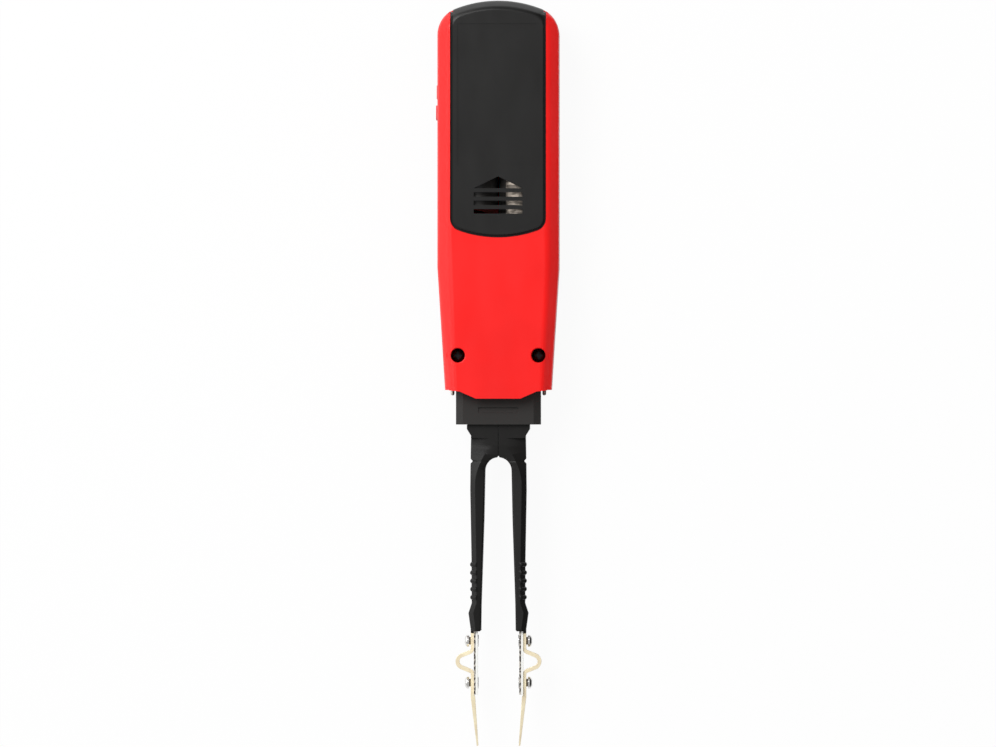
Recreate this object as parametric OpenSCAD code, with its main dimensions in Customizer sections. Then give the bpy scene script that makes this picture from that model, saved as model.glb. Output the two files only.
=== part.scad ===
// Handheld component tester with a plug-in tweezer head, lying on its front rim.
// Seen from the back, +X is to the right, +Y runs to the battery end and +Z points out of the back.
// The origin is under the middle of the tester's length, on the plane of the front rim.

/* [Case] */
// Length of the case, from its plug end to its battery end
case_l = 94.6; // [92:0.1:104]
// Width of the case along its straight sides
case_w = 29.6; // [29.6:0.1:32]
// Thickness of the case, from the front rim to the back
case_t = 20; // [20:0.1:22]
// Width of the case at its plug end
plug_end_w = 25.9; // [25.6:0.1:29]
// Length over which the sides taper to the plug end
taper_l = 29.75; // [26:0.25:32]
// Radius of the bowed battery end
end_r = 28.5; // [25:0.5:34]
// Radius of the corners at the battery end
corner_r = 6.75; // [6:0.25:8]
// Wall thickness of the case shells
wall = 1.8; // [1.5:0.1:1.9]
// Height of the parting line between the shells
part_z = 9.5; // [9.2:0.1:10]
// Width of the slanted facets beside the flat back
facet_w = 2.5; // [2.2:0.1:3]
// Width of the same facets at the plug end
facet_low_w = 2.1; // [1.8:0.1:2.5]
// Height of the slanted facets
facet_h = 3.5; // [3:0.1:4]
// Setback of the rolled edge at the battery end
end_roll = 1.7; // [0.8:0.1:2]
// Rounding of the case's long edges
edge_r = 1.1; // [0.5:0.1:1.3]
// Setback and height of the front rim's facet
front_facet = 2; // [1.5:0.1:2.4]
// Length of the tongue that covers the plug
tongue_l = 2.1; // [1.5:0.1:3]
// Width of the tongue at its root
tongue_root_w = 18.8; // [15:0.1:19]
// Width of the tongue at its end
tongue_w = 10.8; // [8:0.1:13]
// How far the back shell's lower edge drops towards the tongue
tongue_drop = 0.35; // [0.1:0.05:0.6]
// Thickness of the tongue
tongue_t = 1.8; // [1.4:0.1:2.4]
// Distance of the case screws from the plug end
screw_in = 8.4; // [8.2:0.1:9.4]
// Distance between the case screws
screw_gap = 19.6; // [19.4:0.1:19.8]
// Diameter of the screw recesses
recess_d = 3.5; // [3.4:0.1:3.8]
// Depth of the screw heads below the back
recess_depth = 3.8; // [2:0.1:4]

/* [Battery bay] */
// Diameter of a battery cell
cell_d = 10.5; // [10:0.1:10.5]
// Length of a cell, with its nipple
cell_l = 44.5; // [42:0.1:45.5]
// Length left for the contact springs
spring_l = 4.6; // [4:0.1:5]
// Thickness of the bay's walls and floor
bay_wall = 1; // [0.8:0.05:1]
// Thickness of the contact plates
contact_t = 0.4; // [0.3:0.05:0.5]

/* [Battery door] */
// Width of the door
door_w = 21.9; // [21.6:0.1:22.4]
// Length of the door, from its bowed edge to the case's end
door_l = 56.9; // [56:0.1:58]
// Thickness of the door
door_t = 1.8; // [1.6:0.1:1.8]
// Radius of the door's bowed lower edge
door_bow_r = 27.5; // [22:0.5:45]
// Radius of the door's lower corners
door_corner_r = 2.5; // [1:0.1:3.5]
// Gap between the door and the shell
door_gap = 0.7; // [0.4:0.05:0.8]
// Distance from the door's lower edge to the slots
slot_in = 5.1; // [4:0.1:6]
// Length of the slots and of the arrow's base
slot_l = 11.8; // [10:0.1:13]
// Width of one slot
slot_w = 1.1; // [0.8:0.05:1.3]
// Spacing of the slots
slot_pitch = 2.05; // [1.8:0.05:2.2]
// Height of the arrow
arrow_h = 2.9; // [2:0.1:3.5]
// Length of the shallow panel in the door
panel_l = 34.2; // [28:0.1:36]
// Depth of the shallow panel in the door
panel_depth = 0.15; // [0.1:0.01:0.3]

/* [Board and display] */
// Thickness of the circuit board
board_t = 1.2; // [1:0.1:1.2]
// Length of the display window
window_l = 34.6; // [30:0.1:35]
// Width of the display window
window_w = 16.4; // [15:0.1:16.6]
// Thickness of the display window
window_t = 0.8; // [0.6:0.1:1]
// Height of the display frame, from the front wall to the board
frame_h = 3.4; // [3.2:0.1:3.4]

/* [Dial] */
// Diameter of the function dial
dial_d = 22; // [18:0.5:22]
// Distance of the dial's centre from the plug end
dial_in = 28; // [27.5:0.1:29]
// Diameter of the dial's hub
hub_d = 8; // [6:0.5:10]
// Number of grip flutes round the dial
flutes = 24; // [12:1:30]

/* [Side keys] */
// Length of the upper key
upper_key_l = 3.4; // [2.5:0.1:3.5]
// Length of the lower key
lower_key_l = 3.6; // [2.5:0.1:3.8]
// Height of both keys
key_h = 4.8; // [4:0.1:5]
// How far the upper key stands proud of the case
upper_key_out = 0.3; // [0.25:0.05:0.8]
// How far the lower key stands proud of the case
lower_key_out = 0.45; // [0.25:0.05:0.8]
// Distance of the upper key from the battery end
upper_key_in = 22.1; // [21.8:0.1:24]
// Distance between the two keys
key_gap = 5; // [4.8:0.1:6]

/* [Plug] */
// Width of the plug housing
plug_w = 20.6; // [19:0.1:20.8]
// Thickness of the plug housing
plug_t = 12; // [11:0.1:12]
// Length of the housing that shows outside the case
plug_out = 8.4; // [7:0.1:10]
// Depth of the housing inside the case
plug_in = 4.4; // [4:0.1:4.6]
// Width of the nose that enters the socket
nose_w = 13; // [12.2:0.1:13]
// Length of the nose
nose_l = 8.7; // [8.2:0.1:8.9]
// Diameter of a contact pin
pin_d = 1; // [0.8:0.1:1.1]
// Length of the pins beyond the nose
pin_l = 4; // [3:0.1:5]
// Slope of the plug's back and front edges
plug_bevel = 1.7; // [1:0.1:2]
// Length of the grip groove
groove_l = 9.7; // [8:0.1:11]
// Width of the grip groove
groove_w = 1.3; // [1:0.1:1.8]
// Depth of the grip groove at its upper edge
groove_depth = 0.5; // [0.3:0.05:0.8]
// Diameter of the guide pins
guide_d = 0.9; // [0.7:0.05:1]
// Distance between the guide pins
guide_gap = 22.3; // [21.9:0.05:22.4]
// How far the guide pins stand out of the case
guide_out = 1.35; // [1:0.05:2]

/* [Arms] */
// Length of the arms outside the plug
arm_l = 50.3; // [47:0.1:54]
// Thickness of the arms at the root
arm_t = 9; // [8:0.1:9.4]
// Thickness of the arms at their ends
arm_end_t = 7.2; // [6.6:0.1:7.6]
// Width across the flange at the plug
flange_w = 15.3; // [14.6:0.1:16]
// Width across both arms
arms_w = 13.6; // [13.2:0.1:14.2]
// Width across the arms at the start of the ribs
waist_w = 13.1; // [12.8:0.1:13.6]
// Width across the flares near the ends
flare_w = 14.6; // [14:0.1:15.6]
// Gap between the arms at the crotch
crotch_w = 6.4; // [6:0.1:7]
// Gap between the arms at their ends
arm_gap = 8.4; // [8:0.1:8.8]
// Distance of the flexing neck from the plug
neck_in = 8.9; // [8.6:0.1:9.2]
// Distance of the crotch's centre from the plug
crotch_in = 11.2; // [11:0.1:12]
// Depth of the notches at the neck
notch_depth = 0.55; // [0.3:0.05:0.7]
// Width of the outer facets, seen from the back
facet_run = 1.15; // [0.8:0.05:1.4]
// Height of the outer facets
facet_drop = 1.25; // [0.8:0.05:1.4]
// Number of grip ribs on each arm
ribs = 5; // [3:1:6]
// Spacing of the grip ribs
rib_pitch = 2; // [1.8:0.05:2.1]
// Height of the grip ribs
rib_out = 0.35; // [0.15:0.05:0.4]

/* [Tips] */
// Length of the tip boards outside the arms
tip_board_l = 15.4; // [14.5:0.1:18]
// Length of the contact tips beyond the boards
tip_l = 12.5; // [10:0.1:15]
// Thickness of the tip boards
tip_board_t = 0.95; // [0.8:0.05:1.1]
// Width of the tip boards
tip_board_w = 5; // [4.4:0.1:5.2]
// Gap between the two tip boards
tip_board_gap = 10.1; // [10:0.1:10.8]
// Thickness of the contact strips
strip_t = 0.75; // [0.5:0.05:0.8]
// Thickness of the strip in its bow
bow_t = 0.94; // [0.8:0.02:1.1]
// Width of the contact strips
strip_w = 3.6; // [3:0.1:4]
// Gap between the points of the tips
point_gap = 9.8; // [8:0.1:10.4]
// Thickness of a point
point_t = 0.4; // [0.2:0.05:0.4]
// Thickness of the point where it leaves the board
point_root_t = 1.05; // [0.8:0.05:1.2]
// Width of a point
point_w = 0.8; // [0.5:0.1:1.2]
// Height of the strip's bow
bow_h = 3.6; // [2.5:0.1:4]
// Angle between the bow's legs and the board
bow_angle = 68; // [62:1:76]
// Length of the strip's bow
bow_l = 6.1; // [5.6:0.1:6.6]
// Diameter of the tip screws' heads
tip_head_d = 2.9; // [2.4:0.1:3]
// Height of the collar under each of those heads
tip_collar_h = 0.4; // [0.2:0.05:0.6]

/* [Hidden] */
$fn = 48;
arc_n = 10;                 // segments of one outline arc
gap = 0.3;                  // clearance round a piece that moves
slack = 0.05;               // clearance of a running or hand-fitted piece
fit = 0.02;                 // clearance of a piece that is pressed or screwed in
eps = 0.01;

// Stations along the length
y_end = (case_l + plug_out + arm_l + tip_board_l + tip_l) / 2;
y_case = y_end - case_l;
y_plug = y_case - plug_out;
y_arm = y_plug - arm_l;
y_board_end = y_arm - tip_board_l;
y_point = y_board_end - tip_l;
y_taper = y_case + taper_l;
y_screw = y_case + screw_in;
y_dial = y_case + dial_in;
y_door = y_end - door_l;
y_neck = y_plug - neck_in;
y_crotch = y_plug - crotch_in;

// Battery bay, placed from the door down to its floor
bay_w = 2 * cell_d + 0.9;
bay_l = cell_l + spring_l + 2 * contact_t + 0.1;
bay_top = case_t - door_t;
bay_floor = bay_top - gap - cell_d;
y_bay = y_door + 1.35;      // bay's end wall lies under the door's bowed edge
cell_x = (cell_d + 0.2) / 2;
cell_z = bay_floor + cell_d / 2;
nipple_d = 3.8;
nipple_l = 1;
door_flange_h = 0.6;        // height of the flange round the door's foot
tongue_rail = 0.4;          // how far the door's side tongues reach past its opening
rail_h = 1;                 // height of those tongues
rail_z = bay_top - 2.4;     // underside of those tongues
rail_top = rail_z + rail_h + 2 * slack;
rail_w = door_w + 2 * (door_gap + tongue_rail);
leg_x = cell_x + sqrt(pow(cell_d / 2, 2) - pow(rail_z - cell_z, 2)) + gap / 2;
skirt_t = 1.5;
panel_in = 1.1;             // shallow panel's distance from the door's sides
panel_end = 5.7;
skirt_step_z = part_z + 3.5; // below this the door's end skirt is narrower
skirt_step = 1.2;

// Board and display stack, from the front wall up
board_z = wall + frame_h;
board_top = board_z + board_t;
board_in = wall + 1.5;      // board edge inside the case's outline
board_plug_in = 13.65;
board_end_in = 3.55;
y_board = y_case + board_plug_in;
board_l = case_l - board_plug_in - board_end_in;
window_lip = 1.5;           // rim of the window that its seat hides
window_corner = 1.5;
display_side = 0.1;         // display frame beyond the window, at each side and at each end
display_over = 1.2;
display_in = 26.05;         // middle of the display from the battery end
display_w = window_w + 2 * display_side;
display_l = window_l + 2 * display_over;
y_display = y_end - display_in;
glass_t = 2;
board_screw_in = 16.05;
board_screw_x = 8.8;
board_head_d = 3;
board_head_h = 1;

// Parts on the board, between the socket and the battery bay
buzzer_d = 7.6;
buzzer_h = 4;
buzzer_hole_d = 1.6;
buzzer_x = case_w / 2 - board_in - buzzer_d / 2 - gap;
chip_l = 7.6;
chip_w = 7.4;
chip_h = 1.4;
chip_lead = 1;
chip_pitch = 1.27;
chip_foot = 0.2;
chip_x = case_w / 2 - board_in - chip_w / 2 - chip_lead - gap;
y_parts = y_bay - bay_wall - gap / 2 - buzzer_d / 2;
small_l = 1.5;
small_w = 0.7;
crystal_l = 2.8;
crystal_h = 0.9;
small_pitch = small_w + 4 * slack;
y_small = y_case + board_screw_in + board_head_d / 2 + gap / 2;
small_x = case_half(y_small) - board_in - gap;

// Elastomer strip in the display frame
glass_lip = 0.7;            // width of the frame's rim round the glass
glass_z = wall + 0.4;
strip_slot_l = 2.5;
strip_slot_side = 1.5;
strip_slot_in = 0.9;
strip_slot_w = display_w - 2 * strip_slot_side;
strip_slot_y = y_display + display_l / 2 - strip_slot_in - strip_slot_l;

// Dial seated in a round well of the front shell
dial_z = 0.4;
grip_h = 1;
well_r = dial_d / 2 + gap;
well_floor_t = 1.4;
well_z = board_z - 0.8 - well_floor_t;
dial_top = well_z - 0.2;
hub_top = board_z - 0.7;
rotor_t = 0.5;
spigot_in = 1.5;
rotor_out = 3;
spigot_r = hub_d / 2 - spigot_in;
rotor_r = hub_d / 2 + rotor_out;
bar_w = 5;                  // grip bar across the dial
bar_in = 0.8;
pointer_w = 0.6;
pointer_l = 5;
flute_r = 0.6;
wiper_t = 0.15;
wiper_w = 1.6;
wiper_in = 0.4;

// Side keys and the switches behind them
key_z = 5.8;
key_flange_t = 0.6;
key_flange_over = 0.5;
key_corner = 0.8;
flange_x = case_w / 2 - wall - slack; // outer face of a key's flange
switch_w = 3.6;
switch_d = 2;
switch_x = flange_x - key_flange_t - 0.55;
switch_h = 3;
plunger_r = 0.7;
plunger_z = board_z - 1.3;
y_upper_key = y_end - upper_key_in;
y_lower_key = y_upper_key - key_gap;

// Screws
case_shank_r = 1;
shank_gap = 0.1;
recess_rim = 0.3;           // rounding of the mouth of a screw recess
case_head_r = recess_d / 2 - 0.15;
case_head_h = 1.6;
case_head_z = case_t - recess_depth - case_head_h;
boss_r = 2.75;

// Plug and socket, on one mid-plane
head_z = 10;
mouth_w = plug_w + 0.5;
nose_t = 8;
y_nose = y_case + plug_in + nose_l;
tang_w = 11.8;
tang_l = 8.2;
pin_xs = [-4.6, -2, 2, 4.6];
pin_root = 4;
groove_in = 4.15;           // grip groove's upper edge above the plug's end
socket_w = 14;
socket_l = 6;
sleeve_r = 0.9;
socket_top = head_z + nose_t / 2 - 0.4;
lug_out = 1.2;              // lugs that hold the roots in the plug
lug_ys = [3, 5.5];
channel_w = 1.2;            // channel of the leads in the roots and arms
channel_h = 2.4;
guide_z = 12;

// Tweezer arms and tips
neck_inner = sqrt(pow(crotch_w / 2, 2) - pow(y_neck - y_crotch, 2));
neck_outer = arms_w / 2 - notch_depth;
notch_l = 0.6;              // half the height of a notch
flange_h = 1.1;             // straight side of the flange at the plug, and the slope below it
flange_slope = 1.6;
y_step = y_plug - 3.3;      // where the outer facets start on the roots
y_rim = y_plug - 4.85;      // where the sloping rim round the crotch starts
y_flare = y_arm + 4.45;
ridge_in = 1.85;            // distance of a facet's ridge from the middle plane at its start
ridge_l = 9.7;              // length over which it swings out to the arm's edge
rim_slope = 0.22;
arm_slope = 0.13;
inner_bevel = 0.3;
arm_chamfer = 0.3;          // chamfer of an arm's end
arms_far = flange_w / 2 + 0.4;
tab_l = 0.45;               // stub at an arm's end that covers the strip
point_root_l = 0.6;         // length over which the strip swells below the board
lead_x = 5;
lead_r = 0.4;
lead_dz = 0.6;
board_hold = 6.6;           // length of a tip board held inside its arm
y_ribs = y_plug - 34.05;
strip_x = tip_board_gap / 2 + tip_board_t;
y_bow = y_arm - 7.35;
tip_screw_ys = [y_bow + 5, y_bow - 5.2];
tip_shank_r = 0.6;
tip_head_h = 1.1;
tip_collar_r = 0.95;
tip_nut_r = 1.45;           // thin flange of a nut that is pressed into the board
tip_nut_h = 0.2;
tip_barrel_r = 1;

red = [0.99, 0.19, 0.18];
black = [0.17, 0.17, 0.16];
steel = [0.72, 0.72, 0.74];
gold = [0.93, 0.8, 0.55];

// ---- outlines ----
function arc(c, r, a0, a1, n) =
    [for (i = [0:n]) let (a = a0 + (a1 - a0) * i / n) c + r * [cos(a), sin(a)]];
function tail(v) = [for (i = [1:len(v) - 1]) v[i]];
function moved(v, d) = [for (p = v) p + d];
function flipped(v) = [for (i = [len(v) - 1:-1:0]) [-v[i][0], v[i][1]]];
function bend(p0, p1, p2, n) =
    [for (i = [0:n]) let (t = i / n) pow(1 - t, 2) * p0 + 2 * t * (1 - t) * p1 + t * t * p2];

// Half width of the case at height y, below its corners
function case_half(y) = (plug_end_w + (case_w - plug_end_w) * min(1, (y - y_case) / taper_l)) / 2;

// Right half of a bowed end with its apex at the origin: a corner arc, then the end arc up to x = 0
function bowed_end(half_w, r, corner) =
    let (cx = half_w - corner, d = r - corner, a = acos(cx / d))
    concat(arc([cx, d * sin(a) - r], corner, 0, a, arc_n), tail(arc([0, -r], r, a, 90, arc_n)));

// Outline of the case, set back at the sides, at the battery end and at the plug end's sides
function case_outline(side_in, end_in, low_in, y_low) =
    let (hw = case_w / 2 - side_in,
         low = plug_end_w / 2 - low_in,
         hw_low = low + (hw - low) * (y_low - y_case) / taper_l,
         top = moved(bowed_end(hw, end_r - end_in, corner_r - (side_in + end_in) / 2), [0, y_end - end_in]),
         half = concat([[hw_low, y_low], [hw, y_taper]], top))
    concat(half, tail(flipped(half)));

// Outline of the door's opening, of its tongues or of the door itself, run out past the case's end
function door_outline(grow) =
    let (hw = door_w / 2 + grow,
         edge = bowed_end(hw, door_bow_r + grow, door_corner_r + grow),
         half = concat([[hw, -y_end - 1]], moved(edge, [0, grow - y_door])),
         both = concat(half, tail(flipped(half))))
    [for (p = both) [p[0], -p[1]]];

function rounded_box(w, l, r) =
    concat(arc([w / 2 - r, l / 2 - r], r, 0, 90, 4), arc([r - w / 2, l / 2 - r], r, 90, 180, 4),
           arc([r - w / 2, r - l / 2], r, 180, 270, 4), arc([w / 2 - r, r - l / 2], r, 270, 360, 4));

// Setback against height, round both edges of a facet that starts at z0 and ends at z1
function facet_profile(z0, z1, facet) =
    let (a = [0, z0], b = [facet, z1], u = (b - a) / norm(b - a) * edge_r)
    concat(bend([0, z0 + (z0 > z1 ? edge_r : -edge_r)], a, a + u, 3),
           bend(b - u, b, [facet + edge_r, z1], 3));

// ---- general solids ----
// Skin over a stack of rings that all have the same number of points
module loft(rings) {
    n = len(rings[0]);
    m = len(rings);
    polyhedron(
        points = [for (r = rings) each r],
        faces = concat(
            [[for (i = [0:n - 1]) i]],
            [[for (i = [n - 1:-1:0]) (m - 1) * n + i]],
            [for (k = [0:m - 2], i = [0:n - 1]) let (a = k * n, b = a + n, j = (i + 1) % n)
                [a + i, b + i, b + j]],
            [for (k = [0:m - 2], i = [0:n - 1]) let (a = k * n, b = a + n, j = (i + 1) % n)
                [a + i, b + j, a + j]]));
}

module plate(outline, z0, z1) {
    translate([0, 0, z0]) linear_extrude(z1 - z0) polygon(outline);
}

module block(x, y, z) {
    translate([x[0], y[0], z[0]]) cube([x[1] - x[0], y[1] - y[0], z[1] - z[0]]);
}

// A block centred on the middle plane
module mid_block(w, y, z) {
    block([-w / 2, w / 2], y, z);
}

module post(x, y, r, z0, z1) {
    translate([x, y, z0]) cylinder(r = r, h = z1 - z0);
}

module along_y(x, z, r, y0, y1) {
    translate([x, y1, z]) rotate([90, 0, 0]) cylinder(r = r, h = y1 - y0);
}

module along_x(y, z, r, x0, x1) {
    translate([x0, y, z]) rotate([0, 90, 0]) cylinder(r = r, h = x1 - x0);
}

module both_sides() {
    children();
    mirror([1, 0, 0]) children();
}

module on_left() {
    mirror([1, 0, 0]) children();
}

// Pan-head screw along +Z with its head's seat at the origin, and a cross recess
module pan_screw(head_r, head_h, shank_r, shank_l) {
    difference() {
        union() {
            rotate_extrude() polygon(concat([[0, 0], [head_r, 0], [head_r, head_h * 0.45]],
                bend([head_r, head_h * 0.45], [head_r * 0.8, head_h], [0, head_h], 5)));
            translate([0, 0, -shank_l]) cylinder(r = shank_r, h = shank_l + eps);
        }
        for (a = [0, 90]) rotate([0, 0, a])
            mid_block(head_r * 1.2, [-head_r * 0.12, head_r * 0.12], [head_h * 0.55, head_h * 2]);
    }
}

// ---- case ----
// Outer form of the back shell and the door, with its rounded side facets
module back_form() {
    profile = concat([[0, part_z]], facet_profile(case_t - facet_h, case_t, facet_w));
    loft([for (p = profile) let (s = p[0] / facet_w)
        [for (q = case_outline(p[0], s * end_roll, s * facet_low_w, y_case - tongue_l)) [q[0], q[1], p[1]]]]);
}

// Outer form of the front shell, with the facet round its rim
module front_form() {
    profile = concat([[0, part_z]], facet_profile(front_facet, 0, front_facet));
    mirror([0, 0, 1]) loft([for (p = profile)
        [for (q = case_outline(p[0], p[0], p[0], y_case)) [q[0], q[1], -p[1]]]]);
}

// Inside of the shells between two heights
module case_hollow(z0, z1) {
    plate(case_outline(wall, wall, wall, y_case + wall), z0, z1);
}

// Everything beside the tongue that the back shell doesn't cover
module beside_tongue() {
    plate([[case_w, y_case], [plug_end_w / 2, y_case], [tongue_root_w / 2, y_case - tongue_drop],
           [tongue_w / 2, y_case - tongue_l], [tongue_w / 2, y_case - 2 * tongue_l],
           [case_w, y_case - 2 * tongue_l]], part_z - 1, case_t + 1);
}

module plug_mouth() {
    mid_block(mouth_w, [y_case - 2 * tongue_l, y_case + plug_in + gap],
              [head_z - plug_t / 2 - 0.25, head_z + plug_t / 2 + 0.25]);
}

// Walls and floor of the bay; the part below the parting line clears the front shell
module battery_box() {
    bottom = bay_floor - bay_wall * 0.6;
    clear = wall + 2 * slack;
    intersection() {
        mid_block(bay_w + 2 * bay_wall, [y_bay - bay_wall, y_bay + bay_l + bay_wall], [bottom, bay_top]);
        union() {
            plate(case_outline(clear, clear, clear, y_case + clear), bottom, part_z + eps);
            mid_block(case_w, [y_bay - bay_wall, y_end], [part_z, case_t]);
        }
    }
}

module back_shell() {
    color(red) difference() {
        union() {
            difference() {
                back_form();
                case_hollow(part_z - 1, rail_z - gap - bay_wall);
                mid_block(plug_end_w - 4, [y_case + wall, y_door - wall], [part_z, case_t - wall]);
            }
            battery_box();
            both_sides() post(screw_gap / 2, y_screw, boss_r, part_z, case_t - wall);
        }
        // bay for the cells, open under the door
        mid_block(bay_w, [y_bay, y_bay + bay_l], [bay_floor, bay_top]);
        // opening for the door, with a ledge under its edge
        plate(door_outline(door_gap), bay_top, case_t + 1);
        // path of the door's legs, rails of its tongues and room for its end skirt
        mid_block(bay_w, [y_bay - slack, y_end + 1], [rail_z - 2 * slack, bay_top]);
        mid_block(rail_w + 2 * slack, [y_bay - slack, y_end + 1], [rail_z - 2 * slack, rail_top]);
        skirt_form(door_gap, gap, y_bay + bay_l + bay_wall, part_z - 1);
        key_room(y_upper_key, upper_key_l);
        key_room(y_lower_key, lower_key_l);
        // plug mouth and the tongue over it
        both_sides() beside_tongue();
        mid_block(case_w, [y_case - 2 * tongue_l, y_case], [part_z - 1, case_t - tongue_t]);
        plug_mouth();
        // screw recesses and shank holes
        both_sides() {
            post(screw_gap / 2, y_screw, recess_d / 2, case_head_z, case_t + 1);
            translate([screw_gap / 2, y_screw, 0]) recess_mouth();
            post(screw_gap / 2, y_screw, case_shank_r + shank_gap, part_z - 1, case_t);
            along_y(guide_gap / 2, guide_z, guide_d / 2, y_case - eps, y_case + wall + eps);
        }
        // slots for the two contact tails
        for (x = [-cell_x, cell_x])
            block([x - 1.3, x + 1.3], [y_bay, y_bay + contact_t + slack], [board_top, bay_floor + 1]);
    }
}

// Rounded mouth of a screw recess
module recess_mouth() {
    r = recess_d / 2;
    rotate_extrude() polygon(concat([[0, case_t - 2 * recess_rim], [r, case_t - recess_rim - slack]],
        bend([r, case_t - recess_rim], [r, case_t], [r + recess_rim, case_t], 3),
        [[r + recess_rim + slack, case_t + recess_rim], [0, case_t + recess_rim]]));
}

// Room for a key's flange beside the bay
module key_room(y, l) {
    reach = l / 2 + key_flange_over + gap;
    block([-case_w, key_flange_t + gap - flange_x], [y - reach, y + reach],
          [0, key_z + key_h / 2 + key_flange_over + gap]);
}

// Stepped block of the door's end skirt, grown by `side` across and by `down` below its step
module skirt_form(side, down, y0, z0) {
    mid_block(door_w + 2 * side, [y0, y_end + 1], [skirt_step_z - down, case_t]);
    mid_block(door_w - 2 * skirt_step + 2 * side, [y0, y_end + 1], [z0, skirt_step_z]);
}

module front_shell() {
    color(black) difference() {
        union() {
            difference() {
                front_form();
                case_hollow(wall, part_z + 1);
            }
            both_sides() {
                post(screw_gap / 2, y_screw, boss_r - 0.25, wall - eps, part_z);
                post(board_screw_x, y_case + board_screw_in, 2, wall - eps, board_z);
            }
            post(0, y_dial, well_r + wall * 0.6, wall - eps, well_z + well_floor_t);
        }
        plug_mouth();
        both_sides() {
            post(screw_gap / 2, y_screw, case_shank_r + fit, wall, part_z + 1);
            post(board_screw_x, y_case + board_screw_in, 0.72, wall, board_z + 1);
        }
        // window seat and view
        translate([0, y_display, -1]) linear_extrude(1 + gap + window_t)
            polygon(rounded_box(window_w + 4 * slack, window_l + 4 * slack, window_corner + 2 * slack));
        translate([0, y_display, 0]) linear_extrude(wall + 1)
            polygon(rounded_box(window_w - 2 * window_lip, window_l - 2 * window_lip, 1));
        // dial well and hub bearing
        post(0, y_dial, well_r, -1, well_z);
        post(0, y_dial, hub_d / 2 + slack, 0, board_z);
        key_slot(y_upper_key, upper_key_l);
        key_slot(y_lower_key, lower_key_l);
    }
}

module key_slot(y, l) {
    block([-case_w, -case_w / 2 + wall + 1], [y - l / 2 - slack * 2, y + l / 2 + slack * 2],
          [key_z - key_h / 2 - slack * 2, key_z + key_h / 2 + slack * 2]);
}

module case_screws() {
    color([0.1, 0.1, 0.1]) both_sides() translate([screw_gap / 2, y_screw, case_head_z])
        pan_screw(case_head_r, case_head_h, case_shank_r, case_head_z - wall - 1);
}

module guide_pins() {
    color(steel) both_sides() translate([guide_gap / 2, y_case + wall, guide_z]) rotate([90, 0, 0])
        rotate_extrude() polygon(concat([[0, 0], [guide_d / 2, 0]],
            arc([0, wall + guide_out - guide_d / 2], guide_d / 2, 0, 90, 8)));
}

// ---- battery bay ----
module battery_door() {
    end_c = y_end - end_r;
    color(black) difference() {
        union() {
            intersection() {
                back_form();
                union() {
                    plate(door_outline(0), bay_top, case_t + 1);
                    plate(door_outline(door_gap - 2 * slack), bay_top, bay_top + door_flange_h);
                    // skirt that closes the case's end
                    difference() {
                        skirt_form(0, 0, y_end - 6, part_z + 3 * slack);
                        post(0, end_c, end_r - skirt_t, part_z - 1, bay_top);
                    }
                }
            }
            // legs under the long edges, and the tongues that run in the shell's rails
            mid_block(bay_w - 2 * slack, [y_bay + 2, y_end - 9], [rail_z, bay_top + 4 * slack]);
            mid_block(rail_w - 2 * slack, [y_bay + 2, y_end - 9], [rail_z, rail_z + rail_h]);
        }
        // room for the cells between the legs
        mid_block(2 * leg_x, [y_bay, y_end - 8], [rail_z - 1, bay_top]);
        // arrow, slots and the shallow panel
        translate([0, y_door + slot_in + 3 * slot_pitch, 0])
            plate([[-slot_l / 2, 0], [slot_l / 2, 0], [0, arrow_h]], rail_z - 1, case_t + 1);
        for (i = [0:2]) translate([0, y_door + slot_in + i * slot_pitch, 0])
            mid_block(slot_l, [0, slot_w], [rail_z - 1, case_t + 1]);
        mid_block(door_w - 2 * panel_in, [y_end - panel_end - panel_l, y_end - panel_end],
                  [case_t - panel_depth, case_t + 1]);
    }
}

// One cell whose nipple points to +Y, with its bottom at y = 0
module cell() {
    r = cell_d / 2;
    body = cell_l - nipple_l;
    rotate([-90, 0, 0]) rotate_extrude() polygon(concat(
        [[0, 0], [r - 0.8, 0]], arc([r - 0.4, 0.4], 0.4, -90, 0, 3),
        arc([r - 0.5, body - 0.5], 0.5, 0, 90, 3),
        [[nipple_d / 2 + 0.6, body], [nipple_d / 2, body + 0.1], [nipple_d / 2, cell_l], [0, cell_l]]));
}

module battery_left() {
    color([0.12, 0.12, 0.13]) translate([-cell_x, y_bay + contact_t + spring_l, cell_z]) cell();
}

module battery_right() {
    color([0.55, 0.42, 0.33]) translate([cell_x, y_bay + bay_l - contact_t - spring_l, cell_z])
        mirror([0, 1, 0]) cell();
}

// Cone spring that widens from its cell to its plate, wound as a smooth coil along +Y
module cone_spring(l) {
    wire = 0.3;
    turns = 2.5;
    steps = 36;
    sides = 6;
    function at(t) = let (r = 3.6 - 1.8 * t, a = 360 * turns * t)
        [r * cos(a), wire + (l - 2 * wire) * t, r * sin(a)];
    rings = [for (k = [0:steps]) let (t = k / steps, a = 360 * turns * t, c = at(t))
        [for (s = [0:sides - 1]) let (b = 360 * s / sides)
            c + wire * (cos(b) * [cos(a), 0, sin(a)] + sin(b) * [0, 1, 0])]];
    loft(rings);
}

// Contact plate on the bay's end wall, with a tail down to the board
module contact_plate(x, y) {
    block([x - 3.8, x + 3.8], [y, y + contact_t], [bay_floor + 0.5, bay_floor + 8.5]);
    block([x - 1.2, x + 1.2], [y, y + contact_t], [board_top, bay_floor + 0.5 + eps]);
}

module negative_spring() {
    color(steel) {
        contact_plate(-cell_x, y_bay);
        translate([-cell_x, y_bay + contact_t - 0.1, cell_z]) cone_spring(spring_l + 0.1 - slack);
    }
}

module positive_plate() {
    color(steel) contact_plate(cell_x, y_bay);
}

module bridge_contact() {
    y = y_bay + bay_l;
    color(steel) {
        mid_block(2 * cell_x + 7.6, [y - contact_t, y], [bay_floor + 0.5, bay_floor + 8.5]);
        translate([cell_x, y - contact_t + 0.1, cell_z]) mirror([0, 1, 0])
            cone_spring(spring_l + 0.1 - slack);
    }
}

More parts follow.
